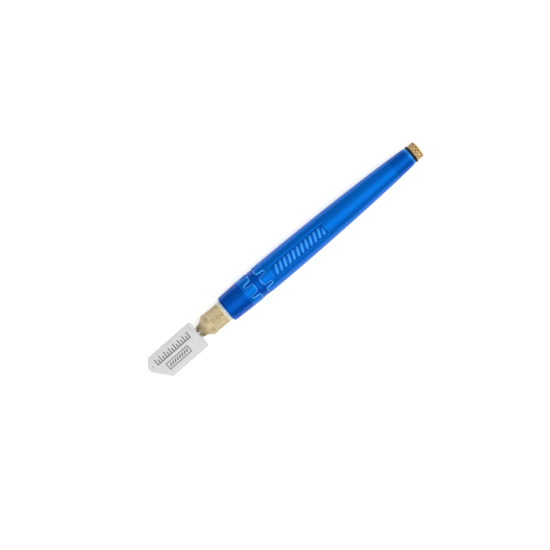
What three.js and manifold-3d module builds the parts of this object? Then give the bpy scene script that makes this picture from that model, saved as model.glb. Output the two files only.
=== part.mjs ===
// Oil-fed glass cutter with a pencil-shaped handle.
//
// Millimetres, +Z up. The tool lies along X, its cutting tip towards -X and its filler cap towards +X,
// with the flat face of the head up. The origin is under the middle of the tool's length, on the
// surface that the fattest ring of the barrel rests on.
//
// Every piece is drawn with x measured from the cutting tip along the tool's axis, and the whole group
// is moved to the origin at the end.

import * as THREE from 'three';
import { mergeVertices } from 'three/addons/utils/BufferGeometryUtils.js';
import Module from 'manifold-3d';

const wasm = await Module();
wasm.setup();

// ---- driving dimensions ------------------------------------------------------------------------

// stations along the axis, from the cutting tip
const HEAD_APEX = -0.8;
const HEAD_FRONT = 0.3;
const HEAD_REAR = 30.6;
const NOZZLE_FRONT = 31.1;
const CONE_FRONT = 33.7;
const BODY_FRONT = 36.4;
const BODY_REAR = 47.4;
const BARREL_FRONT = 48.8;
const THREAD_REAR = 61;
const SOCKET_REAR = 61.6;
const BARREL_REAR = 168.9;
const CAP_FRONT = 170.3;
const LENGTH = 174.2;

// head block: its bevels would meet at HEAD_APEX, and its nose is cut off square at HEAD_FRONT
const HEAD_WIDTH = 15.3;
const HEAD_SHIFT = -0.4;
const HEAD_THICKNESS = 5;
const HEAD_EDGE = 0.3;
const TIP_OFFSET = 2.5;
const NEAR_BEVEL_REAR = 3.4;
const FAR_BEVEL_REAR = 7.2;
const HEAD_LEAN = THREE.MathUtils.degToRad(1.2);

// cutting wheel and its axle
const WHEEL_R = 2.5;
const WHEEL_FLAT_R = 2.05;
const WHEEL_THICKNESS = 1.1;
const WHEEL_BORE_R = 0.5;
const AXLE_R = 0.44;
const POCKET_R = 3;
const POCKET_THICKNESS = 1.4;

// shank, its key pin, retaining groove and oil way
const SHANK_R = 1.97;
const SHANK_FRONT = 22.8;
const SHANK_REAR = 41.6;
const OIL_WAY_R = 0.75;
const WICK_R = 0.68;
const WICK_REAR = 31.2;
const KEY_PIN_X = 31.9;
const KEY_PIN_R = 0.4;
const KEY_SLOT_WIDTH = 1.1;
const KEY_SLOT_REAR = 32.9;
const GROOVE_FRONT = 33.2;
const GROOVE_REAR = 35.1;
const GROOVE_R = 1.4;
const SCREW_X = 34.3;
const SCREW_R = 0.95;
const SCREW_NECK_R = 0.6;
const SCREW_TOP = 3.85;
const SCREW_SLOT_WIDTH = 0.32;
const SCREW_SLOT_DEPTH = 0.5;

// ferrule
const NOZZLE_R = 3;
const CONE_FRONT_R = 3.5;
const FERRULE_R = 5.8;
const THREAD_R = 5;
const THREAD_DEPTH = 0.55;
const THREAD_PITCH = 1.3;
const GUIDE_R = 2.05;
const CHAMBER_FRONT = 39.4;
const CHAMBER_R = 3.4;
const WASHER_R = 5.9;

// oil valve, inside the ferrule
const SEAL_THICKNESS = 1.5;
const SEAT_FRONT = 43;
const SEAT_THICKNESS = 1.5;
const SEAT_BORE_R = 0.9;
const BALL_R = 1.5;
const PUSH_ROD_R = 0.6;
const PUSH_FLANGE_R = 1.2;
const PUSH_FLANGE_THICKNESS = 0.7;
const RETAINER_FRONT = 52.2;
const RETAINER_THICKNESS = 4;
const RETAINER_BORE_R = 1.2;
const RETAINER_SLOT = 1;
const SPRING_R = 1;
const SPRING_WIRE_R = 0.2;
const SPRING_TURNS = 5;

// barrel
const BARREL_R = 7.8;
const BARREL_NOSE_R = 6.75;
const BARREL_TAIL_R = 4.55;
const SOCKET_R = 5.06;
const RESERVOIR_R = 4.7;
const RESERVOIR_TAPER_FRONT = 130;
const FILLER_R = 3.86;
const FILLER_FRONT = 157;

// filler cap and its O-ring
const CAP_R = 4.75;
const CAP_THREAD_R = 3.8;
const CAP_THREAD_DEPTH = 0.4;
const CAP_THREAD_PITCH = 1;
const CAP_THREAD_FRONT = 157.7;
const CAP_NECK_FRONT = 168.3;
const CAP_NECK_R = 3.3;
const CAP_RIM_R = 0.5;
const O_RING_R = 4.15;
const O_RING_SECTION_R = 0.68;

// running clearance between round pieces on one axis, and the gap left between faces that touch
const CLEARANCE = 0.05;
const TOUCH = 0.02;

// broken edges of turned pieces
const EDGE = 0.2;

// facets round the large and the small round pieces
const ROUND = 36;
const SMALL_ROUND = 24;
const HALF_FACET = Math.PI / ROUND;

// ---- materials ---------------------------------------------------------------------------------

const plated = new THREE.MeshStandardMaterial({ color: 0xd2d2d0, roughness: 0.45, metalness: 0.9 });
const steel = new THREE.MeshStandardMaterial({ color: 0xb4b6ba, roughness: 0.3, metalness: 1 });
const carbide = new THREE.MeshStandardMaterial({ color: 0x6e7076, roughness: 0.25, metalness: 1 });
const brass = new THREE.MeshStandardMaterial({ color: 0xc3a868, roughness: 0.35, metalness: 1 });
const rubber = new THREE.MeshStandardMaterial({ color: 0x141414, roughness: 0.6, metalness: 0 });
const felt = new THREE.MeshStandardMaterial({ color: 0xe6e0cf, roughness: 1, metalness: 0 });
const clear = new THREE.MeshStandardMaterial({
  color: 0xd2dde2,
  roughness: 0.15,
  metalness: 0,
  transparent: true,
  opacity: 0.5,
});
const bluePlastic = new THREE.MeshStandardMaterial({
  color: 0x0d5fb7,
  roughness: 0.12,
  metalness: 0,
  transparent: true,
  opacity: 0.75,
});

// ---- making solids -----------------------------------------------------------------------------

// A closed geometry as a solid that can be joined and cut.
function toSolid(geometry) {
  geometry.deleteAttribute('normal');
  geometry.deleteAttribute('uv');
  const merged = mergeVertices(geometry);
  const triVerts = [];
  for (let i = 0; i < merged.index.count; i += 3) {
    const [a, b, c] = [0, 1, 2].map((k) => merged.index.getX(i + k));
    if (a !== b && b !== c && c !== a) triVerts.push(a, b, c);
  }
  const mesh = new wasm.Mesh({
    numProp: 3,
    vertProperties: new Float32Array(merged.attributes.position.array),
    triVerts: new Uint32Array(triVerts),
  });
  return new wasm.Manifold(mesh);
}

// The surface of a solid as a geometry.
function toGeometry(solid) {
  const mesh = solid.getMesh();
  const geometry = new THREE.BufferGeometry();
  geometry.setAttribute('position', new THREE.BufferAttribute(new Float32Array(mesh.vertProperties), 3));
  geometry.setIndex(new THREE.BufferAttribute(new Uint32Array(mesh.triVerts), 1));
  geometry.computeVertexNormals();
  return geometry;
}

// A profile of [station, radius] points turned round the tool's axis. The points run along the outside
// from front to rear and back along the inside, so the faces point outwards.
function turnedGeometry(profile, facets = ROUND) {
  const points = profile.map(([x, r]) => new THREE.Vector2(r, x));
  const closed = profile[0][1] === 0 ? points : [...points, points[0]];
  return new THREE.LatheGeometry(closed, facets).rotateZ(-Math.PI / 2);
}

function turned(profile, facets) {
  return toSolid(turnedGeometry(profile, facets));
}

// A plain round bar on the tool's axis.
function bar(front, rear, r, facets) {
  return turned([[front, 0], [front, r], [rear, r], [rear, 0]], facets);
}

// A round bar along Z, used for pins and for the holes they sit in.
function uprightBar(x, y, r, low, high, facets = SMALL_ROUND) {
  const geometry = new THREE.CylinderGeometry(r, r, high - low, facets);
  geometry.rotateX(Math.PI / 2).translate(x, y, (low + high) / 2);
  return toSolid(geometry);
}

function block(low, high) {
  const size = high.map((value, i) => value - low[i]);
  const middle = high.map((value, i) => (value + low[i]) / 2);
  return toSolid(new THREE.BoxGeometry(...size).translate(...middle));
}

// Stations and radii of a thread drawn as plain rings: crests at r, roots at r - depth.
function threadRings(front, rear, r, depth, pitch) {
  const rings = [];
  for (let x = front; x + pitch <= rear; x += pitch) {
    rings.push([x, r - depth], [x + pitch / 2, r]);
  }
  return rings;
}

// Points of an arc in the profile plane, round (x, r), from one angle to another in degrees.
function arc(x, r, radius, from, to, steps) {
  return Array.from({ length: steps + 1 }, (_, i) => {
    const angle = THREE.MathUtils.degToRad(from + ((to - from) * i) / steps);
    return [x + radius * Math.cos(angle), r + radius * Math.sin(angle)];
  });
}

const group = new THREE.Group();

function add(name, geometry, material) {
  const mesh = new THREE.Mesh(geometry, material);
  mesh.name = name;
  group.add(mesh);
}

// ---- head --------------------------------------------------------------------------------------

// The block sits slightly askew and to one side of its shank. Its points are given along and across its
// own middle line.
const headPivot = new THREE.Vector2(HEAD_REAR, 0);

function onHead(along, across) {
  return new THREE.Vector2(along, across + HEAD_SHIFT).rotateAround(headPivot, HEAD_LEAN);
}

const wheelCentre = onHead(WHEEL_R, TIP_OFFSET);

function headBlock() {
  const half = HEAD_WIDTH / 2;
  const outline = new THREE.Shape([
    onHead(HEAD_APEX, TIP_OFFSET),
    onHead(FAR_BEVEL_REAR, -half),
    onHead(HEAD_REAR, -half),
    onHead(HEAD_REAR, half),
    onHead(NEAR_BEVEL_REAR, half),
  ]);
  const plate = new THREE.ExtrudeGeometry(outline, {
    depth: HEAD_THICKNESS - 2 * HEAD_EDGE,
    bevelEnabled: true,
    bevelThickness: HEAD_EDGE,
    bevelSize: HEAD_EDGE,
    bevelOffset: -HEAD_EDGE,
    bevelSegments: 2,
  });
  plate.translate(0, 0, HEAD_EDGE - HEAD_THICKNESS / 2);
  const pocketHalf = POCKET_THICKNESS / 2;
  const [x, y] = wheelCentre;
  const front = 2 * HEAD_APEX;
  return toSolid(plate)
    .subtract(block([front, y - POCKET_R, -HEAD_THICKNESS], [HEAD_FRONT, y + POCKET_R, HEAD_THICKNESS]))
    .subtract(uprightBar(x, y, POCKET_R, -pocketHalf, pocketHalf, ROUND))
    .subtract(block([front, y - POCKET_R, -pocketHalf], [x, y + POCKET_R, pocketHalf]))
    .subtract(uprightBar(x, y, AXLE_R + CLEARANCE, -HEAD_THICKNESS, HEAD_THICKNESS))
    .subtract(bar(SHANK_FRONT - CLEARANCE, LENGTH, SHANK_R + CLEARANCE))
    .subtract(bar(x, SHANK_FRONT, OIL_WAY_R, SMALL_ROUND));
}

function cuttingWheel() {
  const half = WHEEL_THICKNESS / 2;
  const profile = [
    new THREE.Vector2(WHEEL_BORE_R, -half),
    new THREE.Vector2(WHEEL_FLAT_R, -half),
    new THREE.Vector2(WHEEL_R, 0),
    new THREE.Vector2(WHEEL_FLAT_R, half),
    new THREE.Vector2(WHEEL_BORE_R, half),
    new THREE.Vector2(WHEEL_BORE_R, -half),
  ];
  return new THREE.LatheGeometry(profile, ROUND).rotateX(Math.PI / 2).translate(...wheelCentre, 0);
}

function wheelAxle() {
  const half = HEAD_THICKNESS / 2 - TOUCH;
  return uprightBar(...wheelCentre, AXLE_R, -half, half);
}

function headShank() {
  const notch = KEY_SLOT_WIDTH / 2;
  return turned([
    [SHANK_FRONT, OIL_WAY_R],
    [SHANK_FRONT, SHANK_R - EDGE],
    [SHANK_FRONT + EDGE, SHANK_R],
    [GROOVE_FRONT, SHANK_R],
    [GROOVE_FRONT, GROOVE_R],
    [GROOVE_REAR, GROOVE_R],
    [GROOVE_REAR, SHANK_R],
    [SHANK_REAR - EDGE, SHANK_R],
    [SHANK_REAR, SHANK_R - EDGE],
    [SHANK_REAR, OIL_WAY_R],
  ])
    .subtract(uprightBar(KEY_PIN_X, 0, KEY_PIN_R + TOUCH, -FERRULE_R, FERRULE_R))
    .subtract(block([SHANK_REAR - 1, -FERRULE_R, -notch], [SHANK_REAR + 1, FERRULE_R, notch]));
}

function swivelKeyPin() {
  return uprightBar(KEY_PIN_X, 0, KEY_PIN_R, -NOZZLE_R, NOZZLE_R);
}

function oilWick() {
  return bar(wheelCentre.x + POCKET_R, WICK_REAR, WICK_R, SMALL_ROUND);
}

// ---- ferrule -----------------------------------------------------------------------------------

function ferrule() {
  const lip = NOZZLE_R - GUIDE_R - TOUCH;
  const slotHalf = KEY_SLOT_WIDTH / 2;
  const undercut = BODY_REAR + 2;
  return turned([
    [NOZZLE_FRONT, GUIDE_R],
    ...arc(NOZZLE_FRONT + lip, NOZZLE_R - lip, lip, 180, 90, 3),
    [CONE_FRONT, CONE_FRONT_R],
    [BODY_FRONT, FERRULE_R - EDGE],
    [BODY_FRONT + EDGE, FERRULE_R],
    [BODY_REAR - EDGE, FERRULE_R],
    [BODY_REAR, FERRULE_R - EDGE],
    [BODY_REAR, THREAD_R - THREAD_DEPTH],
    ...threadRings(undercut, THREAD_REAR, THREAD_R, THREAD_DEPTH, THREAD_PITCH),
    [THREAD_REAR, THREAD_R - THREAD_DEPTH],
    [THREAD_REAR, CHAMBER_R],
    [CHAMBER_FRONT, CHAMBER_R],
    [CHAMBER_FRONT, GUIDE_R],
  ])
    .subtract(block([NOZZLE_FRONT - 1, -slotHalf, -FERRULE_R], [KEY_SLOT_REAR, slotHalf, FERRULE_R]))
    .subtract(uprightBar(SCREW_X, 0, SCREW_R + CLEARANCE, 0, FERRULE_R));
}

// Slotted grub screw. Its neck stands in the shank's groove and keeps the head from falling out.
function headSetScrew() {
  const foot = GROOVE_R + 3 * CLEARANCE;
  const shoulder = GUIDE_R + 2 * CLEARANCE;
  const slotHalf = SCREW_SLOT_WIDTH / 2;
  const slotFloor = SCREW_TOP - SCREW_SLOT_DEPTH;
  return uprightBar(SCREW_X, 0, SCREW_R, shoulder, SCREW_TOP)
    .add(uprightBar(SCREW_X, 0, SCREW_NECK_R, foot, shoulder + CLEARANCE))
    .subtract(block([SCREW_X - SCREW_TOP, -slotHalf, slotFloor], [SCREW_X + SCREW_TOP, slotHalf, FERRULE_R]));
}

// A flat ring that fills the ferrule's chamber, with a hole on the axis.
function chamberRing(front, thickness, holeR) {
  const rear = front + thickness;
  const r = CHAMBER_R - CLEARANCE;
  return turnedGeometry([[front, holeR], [front, r], [rear, r], [rear, holeR]]);
}

function springRetainer() {
  const rear = RETAINER_FRONT + RETAINER_THICKNESS;
  const half = RETAINER_SLOT / 2;
  const ring = toSolid(chamberRing(RETAINER_FRONT, RETAINER_THICKNESS, RETAINER_BORE_R));
  return ring.subtract(block([rear - RETAINER_SLOT, -half, -FERRULE_R], [LENGTH, half, FERRULE_R]));
}

// The ball rests on the rim of the seat's bore.
const seatRear = SEAT_FRONT + SEAT_THICKNESS;
const ballX = seatRear + Math.sqrt(BALL_R ** 2 - SEAT_BORE_R ** 2) + TOUCH;

function pushRod() {
  const front = SHANK_REAR + TOUCH;
  const rear = ballX - BALL_R - TOUCH;
  const flange = front + PUSH_FLANGE_THICKNESS;
  const profile = [
    [front, 0],
    [front, PUSH_FLANGE_R],
    [flange, PUSH_FLANGE_R],
    [flange, PUSH_ROD_R],
    [rear, PUSH_ROD_R],
    [rear, 0],
  ];
  return turnedGeometry(profile, SMALL_ROUND);
}

function valveBall() {
  return new THREE.SphereGeometry(BALL_R, SMALL_ROUND, 12).rotateZ(-Math.PI / 2).translate(ballX, 0, 0);
}

class Helix extends THREE.Curve {
  constructor(front, rear, r, turns) {
    super();
    Object.assign(this, { front, rear, r, turns });
  }
  getPoint(t, target = new THREE.Vector3()) {
    const angle = 2 * Math.PI * this.turns * t;
    const x = this.front + (this.rear - this.front) * t;
    return target.set(x, this.r * Math.cos(angle), this.r * Math.sin(angle));
  }
}

function valveSpring() {
  const front = ballX + BALL_R + SPRING_WIRE_R;
  const rear = RETAINER_FRONT - SPRING_WIRE_R - CLEARANCE;
  const wire = new THREE.Shape().absarc(0, 0, SPRING_WIRE_R, 0, 2 * Math.PI);
  return new THREE.ExtrudeGeometry(wire, {
    extrudePath: new Helix(front, rear, SPRING_R, SPRING_TURNS),
    steps: 12 * SPRING_TURNS,
    curveSegments: 3,
    bevelEnabled: false,
  });
}

function ferruleWasher() {
  const [front, rear] = [BODY_REAR + TOUCH, BARREL_FRONT - TOUCH];
  return turnedGeometry([
    [front, THREAD_R + CLEARANCE],
    [front, WASHER_R - EDGE],
    [front + EDGE, WASHER_R],
    [rear - EDGE, WASHER_R],
    [rear, WASHER_R - EDGE],
    [rear, THREAD_R + CLEARANCE],
  ]);
}

// ---- barrel ------------------------------------------------------------------------------------

// The pencil shape: a slow swell to the fattest ring, then a long taper to the tail. A smooth curve
// through these rings, each given as a station and a radius.
function barrelSide() {
  const side = new THREE.SplineCurve([
    new THREE.Vector2(50, 7.25),
    new THREE.Vector2(62, 7.58),
    new THREE.Vector2(80, BARREL_R),
    new THREE.Vector2(105, 7.5),
    new THREE.Vector2(130, 6.83),
    new THREE.Vector2(152, 5.9),
    new THREE.Vector2(166.5, 5),
  ]);
  return side.getPoints(12).map((p) => [p.x, p.y]);
}

// The middles of the facets, not their corners, are at the stated radii, and one facet faces straight
// down, so that the tool lies still on a flat surface.
function barrel() {
  const profile = [
    [BARREL_FRONT, SOCKET_R],
    [BARREL_FRONT, BARREL_NOSE_R - EDGE],
    [BARREL_FRONT + EDGE, BARREL_NOSE_R],
    ...barrelSide(),
    [BARREL_REAR - EDGE, BARREL_TAIL_R],
    [BARREL_REAR, BARREL_TAIL_R - EDGE],
    [BARREL_REAR, FILLER_R],
    [FILLER_FRONT, FILLER_R],
    [RESERVOIR_TAPER_FRONT, RESERVOIR_R],
    [SOCKET_REAR, RESERVOIR_R],
    [SOCKET_REAR, SOCKET_R],
  ];
  const corners = profile.map(([x, r]) => [x, r / Math.cos(HALF_FACET)]);
  return turnedGeometry(corners).rotateX(HALF_FACET);
}

// ---- filler cap --------------------------------------------------------------------------------

function fillerCap() {
  return turnedGeometry([
    [CAP_THREAD_FRONT, 0],
    [CAP_THREAD_FRONT, CAP_THREAD_R - CAP_THREAD_DEPTH],
    ...threadRings(CAP_THREAD_FRONT + EDGE, CAP_NECK_FRONT, CAP_THREAD_R, CAP_THREAD_DEPTH, CAP_THREAD_PITCH),
    [CAP_NECK_FRONT, CAP_NECK_R],
    [CAP_FRONT, CAP_NECK_R],
    [CAP_FRONT, CAP_R - EDGE],
    [CAP_FRONT + EDGE, CAP_R],
    ...arc(LENGTH - CAP_RIM_R, CAP_R - CAP_RIM_R, CAP_RIM_R, 90, 0, 3),
    [LENGTH, 0],
  ]);
}

function capORing() {
  const middle = (BARREL_REAR + CAP_FRONT) / 2;
  return turnedGeometry(arc(middle, O_RING_R, O_RING_SECTION_R, 180, -180, 10).slice(0, -1));
}

// ---- the tool ----------------------------------------------------------------------------------

add('head_block', toGeometry(headBlock()), plated);
add('cutting_wheel', cuttingWheel(), carbide);
add('wheel_axle', toGeometry(wheelAxle()), steel);
add('head_shank', toGeometry(headShank()), steel);
add('swivel_key_pin', toGeometry(swivelKeyPin()), steel);
add('oil_wick', toGeometry(oilWick()), felt);

add('ferrule', toGeometry(ferrule()), brass);
add('head_set_screw', toGeometry(headSetScrew()), brass);
add('shank_seal', chamberRing(CHAMBER_FRONT + TOUCH, SEAL_THICKNESS, SHANK_R + CLEARANCE), rubber);
add('valve_seat', chamberRing(SEAT_FRONT, SEAT_THICKNESS, SEAT_BORE_R), rubber);
add('push_rod', pushRod(), steel);
add('valve_ball', valveBall(), steel);
add('valve_spring', valveSpring(), steel);
add('spring_retainer', toGeometry(springRetainer()), brass);
add('ferrule_washer', ferruleWasher(), clear);

add('barrel', barrel(), bluePlastic);

add('filler_cap', fillerCap(), brass);
add('cap_o_ring', capORing(), rubber);

group.position.set(-LENGTH / 2, 0, BARREL_R);

export default group;
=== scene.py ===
"""Looks of the oil-fed glass cutter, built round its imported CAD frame.

Lengths in the shape functions are millimetres, with x and the radius measured along and from the tool's
axis; every mesh is turned into metres in the CAD's frame when it is made.
"""

import math

import bmesh
import bpy
from mathutils import Matrix, Vector


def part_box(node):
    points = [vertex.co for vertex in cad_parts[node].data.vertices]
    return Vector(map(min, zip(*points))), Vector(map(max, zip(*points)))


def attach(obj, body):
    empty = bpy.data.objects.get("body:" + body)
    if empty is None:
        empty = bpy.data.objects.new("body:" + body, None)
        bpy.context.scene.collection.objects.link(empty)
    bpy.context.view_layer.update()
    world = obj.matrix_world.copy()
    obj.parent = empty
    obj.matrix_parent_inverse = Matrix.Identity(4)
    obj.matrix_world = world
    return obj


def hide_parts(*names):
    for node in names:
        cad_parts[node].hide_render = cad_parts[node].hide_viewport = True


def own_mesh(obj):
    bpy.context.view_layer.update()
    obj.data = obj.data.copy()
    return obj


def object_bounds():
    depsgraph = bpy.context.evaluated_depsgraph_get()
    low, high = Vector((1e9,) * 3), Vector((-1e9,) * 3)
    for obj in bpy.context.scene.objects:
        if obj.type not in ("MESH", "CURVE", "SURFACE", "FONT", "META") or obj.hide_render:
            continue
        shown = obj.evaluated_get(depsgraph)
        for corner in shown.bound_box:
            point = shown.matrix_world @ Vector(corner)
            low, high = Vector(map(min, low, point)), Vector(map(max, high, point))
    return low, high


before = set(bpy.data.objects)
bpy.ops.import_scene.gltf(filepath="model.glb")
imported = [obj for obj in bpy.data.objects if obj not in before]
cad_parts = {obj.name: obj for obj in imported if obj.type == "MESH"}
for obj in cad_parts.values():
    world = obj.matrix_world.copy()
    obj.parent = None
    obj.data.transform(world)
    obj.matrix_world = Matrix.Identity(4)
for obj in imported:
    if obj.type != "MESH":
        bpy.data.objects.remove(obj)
cad_low, cad_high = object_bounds()

MM = 0.001


def span(node):
    """Front and rear station of a CAD node, in millimetres."""
    low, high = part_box(node)
    return low.x / MM, high.x / MM


barrel_low, barrel_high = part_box("barrel")
AXIS_Z = (barrel_low.z + barrel_high.z) / 2 / MM
TIP_X = cad_low.x / MM
BARREL_FRONT, BARREL_REAR = span("barrel")
NOZZLE_FRONT, FERRULE_REAR = span("ferrule")
WASHER_FRONT = span("ferrule_washer")[0]
CAP_THREAD_FRONT, CAP_END = span("filler_cap")
O_RING_FRONT, O_RING_REAR = span("cap_o_ring")
SHANK_FRONT, SHANK_REAR = span("head_shank")
FERRULE_R = 5.8
FERRULE_KNURL_DEPTH = 0.34
CAP_R = 4.75
CAP_KNURL_DEPTH = 0.55

# ---- mesh helpers ------------------------------------------------------------------------------


def make_object(name, verts, faces, material, sharp=40):
    """A mesh object from vertices in metres, smooth except at edges sharper than the given angle."""
    mesh = bpy.data.meshes.new(name)
    mesh.from_pydata(verts, [], faces)
    mesh.update()
    mesh.shade_smooth()
    mesh.set_sharp_from_angle(angle=math.radians(sharp))
    obj = bpy.data.objects.new(name, mesh)
    bpy.context.scene.collection.objects.link(obj)
    obj.data.materials.append(material)
    return obj


def on_axis(x, r, theta):
    """A point in metres at station x and radius r; theta turns from +Y towards +Z."""
    return (x * MM, r * math.cos(theta) * MM, (AXIS_Z + r * math.sin(theta)) * MM)


def revolve(name, profile, material, facets=96, relief=None, sharp=40, tone=None):
    """Turns a profile of (x, r) points round the tool's axis.

    A profile whose ends are on the axis closes there, and any other closes on itself. relief(i, x, r,
    theta) gives the radius of a point, and i is the point's place in the profile, where end points on
    the axis don't count. tone(i, x, theta) gives the number that its material reads as "tone".
    """
    solid = profile[0][1] < 1e-6
    ring_points = profile[1:-1] if solid else profile
    verts = []
    for i, (x, r) in enumerate(ring_points):
        for k in range(facets):
            theta = 2 * math.pi * k / facets
            verts.append(on_axis(x, relief(i, x, r, theta) if relief else r, theta))
    rows = len(ring_points)
    faces = []
    for i in range(rows if not solid else rows - 1):
        a = i * facets
        b = (i + 1) % rows * facets
        for k in range(facets):
            n = (k + 1) % facets
            faces.append((a + k, b + k, b + n, a + n))
    if solid:
        for row, (x, _), flip in ((0, profile[0], False), (rows - 1, profile[-1], True)):
            centre = len(verts)
            verts.append(on_axis(x, 0, 0))
            for k in range(facets):
                n = (k + 1) % facets
                face = (row * facets + n, centre, row * facets + k)
                faces.append(face[::-1] if flip else face)
    obj = make_object(name, verts, faces, material, sharp)
    fix_normals(obj)
    if tone:
        layer = obj.data.attributes.new("tone", "FLOAT", "POINT")
        tones = [
            tone(i, x, 2 * math.pi * k / facets)
            for i, (x, _) in enumerate(ring_points)
            for k in range(facets)
        ]
        layer.data.foreach_set("value", tones)
    return obj


def fix_normals(obj):
    """Turns every face of a closed mesh outwards."""
    bm = bmesh.new()
    bm.from_mesh(obj.data)
    bmesh.ops.recalc_face_normals(bm, faces=bm.faces)
    bm.to_mesh(obj.data)
    bm.free()


NEARLY_STRAIGHT = 165


def fillet(profile, radius, steps=4, closed=True):
    """Rounds the corners of a profile with arcs of the given radius, less where its sides are short."""
    count = len(profile)
    out = []
    for i, here in enumerate(profile):
        if not closed and i in (0, count - 1):
            out.append(here)
            continue
        p = Vector(here)
        before = Vector(profile[i - 1]) - p
        after = Vector(profile[(i + 1) % count]) - p
        angle = before.angle(after)
        if math.degrees(angle) > NEARLY_STRAIGHT:
            out.append(here)
            continue
        reach = min(radius / math.tan(angle / 2), before.length * 0.45, after.length * 0.45)
        r = reach * math.tan(angle / 2)
        a = p + before.normalized() * reach
        b = p + after.normalized() * reach
        centre = p + (before.normalized() + after.normalized()).normalized() * (r / math.sin(angle / 2))
        start = a - centre
        turn = start.angle_signed(b - centre)
        for k in range(steps + 1):
            out.append(tuple(centre + Matrix.Rotation(-turn * k / steps, 2) @ start))
    return out


def dense(a, b, step, radius):
    """Profile points from station a to station b, about a step apart; radius(x) gives their radii."""
    count = max(1, round(abs(b - a) / step))
    return [(a + (b - a) * k / count, radius(a + (b - a) * k / count)) for k in range(count + 1)]


def triangle_wave(t):
    """1 at whole numbers, 0 halfway between them."""
    return abs(2 * (t % 1) - 1)


def knurl(x, theta, starts, pitch):
    """Height from 0 to 1 of a diamond knurl: pyramids between two crossing sets of grooves."""
    turn = starts * theta / (2 * math.pi)
    return min(triangle_wave(turn + x / pitch), triangle_wave(turn - x / pitch))


def smooth(low, high, value):
    """0 at low and 1 at high, smooth between them and constant beyond; low may be the larger one."""
    t = min(1, max(0, (value - low) / (high - low)))
    return t * t * (3 - 2 * t)


def bell(value, width):
    """1 at 0, falling smoothly to nothing past about twice the width."""
    return math.exp(-((value / width) ** 2))


def thread(x, theta, pitch):
    """Height from 0 to 1 of a right-handed screw thread, with narrow flats on its crests and roots."""
    wave = triangle_wave(x / pitch - theta / (2 * math.pi))
    return smooth(0.12, 0.88, wave)


# ---- material helpers --------------------------------------------------------------------------


def new_material(name, **sockets):
    """A material, its node tree and its shader; sockets are the shader's inputs, with _ for spaces."""
    material = bpy.data.materials.new(name)
    material.use_nodes = True
    shader = material.node_tree.nodes["Principled BSDF"]
    for socket, value in sockets.items():
        shader.inputs[socket.replace("_", " ")].default_value = value
    return material, material.node_tree, shader


def node(tree, kind, inputs=None, **settings):
    """A new node; each input is either linked to a socket or set to a value."""
    made = tree.nodes.new(kind)
    for key, value in settings.items():
        setattr(made, key, value)
    for key, value in (inputs or {}).items():
        if isinstance(value, bpy.types.NodeSocket):
            tree.links.new(value, made.inputs[key])
        else:
            made.inputs[key].default_value = value
    return made


def object_coordinates(tree, scale=(1, 1, 1)):
    coordinates = node(tree, "ShaderNodeTexCoord")
    mapping = node(tree, "ShaderNodeMapping", {"Vector": coordinates.outputs["Object"], "Scale": scale})
    return mapping.outputs["Vector"]


def ramp(tree, value, *stops):
    """The colour that a value stands for; each stop is a position and its colour."""
    made = node(tree, "ShaderNodeValToRGB", {"Fac": value})
    elements = made.color_ramp.elements
    while len(elements) < len(stops):
        elements.new(0.5)
    for element, (position, colour) in zip(elements, stops):
        element.position = position
        element.color = (*colour, 1)
    return made.outputs["Color"]


def noise(tree, vector, scale, detail):
    inputs = {"Vector": vector, "Scale": scale, "Detail": detail}
    return node(tree, "ShaderNodeTexNoise", inputs).outputs["Fac"]


def bump(tree, shader, height, distance, strength=1.0):
    made = node(tree, "ShaderNodeBump", {"Height": height, "Distance": distance, "Strength": strength})
    tree.links.new(made.outputs["Normal"], shader.inputs["Normal"])


def vary(tree, shader, socket, value, low, high):
    """Lets a value between 0.3 and 0.7, where most noise lies, move a shader's number from low to high."""
    inputs = {"Value": value, "From Min": 0.3, "From Max": 0.7, "To Min": low, "To Max": high}
    made = node(tree, "ShaderNodeMapRange", inputs)
    tree.links.new(made.outputs["Result"], shader.inputs[socket])


def radius_from_axis(tree, low, high):
    """0 at the low radius and 1 at the high one, both in millimetres from the tool's axis."""
    coordinates = node(tree, "ShaderNodeTexCoord")
    axis = (0, 0, AXIS_Z * MM)
    from_axis = {0: coordinates.outputs["Object"], 1: axis}
    place = node(tree, "ShaderNodeVectorMath", from_axis, operation="SUBTRACT")
    flat = node(tree, "ShaderNodeVectorMath", {0: place.outputs[0], 1: (0, 1, 1)}, operation="MULTIPLY")
    length = node(tree, "ShaderNodeVectorMath", {0: flat.outputs[0]}, operation="LENGTH")
    inputs = {"Value": length.outputs["Value"], "From Min": low * MM, "From Max": high * MM}
    return node(tree, "ShaderNodeMapRange", inputs).outputs["Result"]


def along_axis(tree, start, end):
    """0 at station start and 1 at station end, both in millimetres."""
    coordinates = node(tree, "ShaderNodeTexCoord")
    split = node(tree, "ShaderNodeSeparateXYZ", {"Vector": coordinates.outputs["Object"]})
    inputs = {"Value": split.outputs["X"], "From Min": start * MM, "From Max": end * MM}
    return node(tree, "ShaderNodeMapRange", inputs).outputs["Result"]


def multiply(tree, colour, factor):
    """A colour darkened by another."""
    made = node(tree, "ShaderNodeMix", {"Factor": 1.0}, data_type="RGBA", blend_type="MULTIPLY")
    colours = [socket for socket in made.inputs if socket.type == "RGBA"]
    tree.links.new(colour, colours[0])
    tree.links.new(factor, colours[1])
    return next(socket for socket in made.outputs if socket.type == "RGBA")


# how finely the grain of turned metal is packed along and across the tool's axis
TURNED_GRAIN = (7000, 1200, 1200)
CLOUD_SCALE = 300


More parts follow.
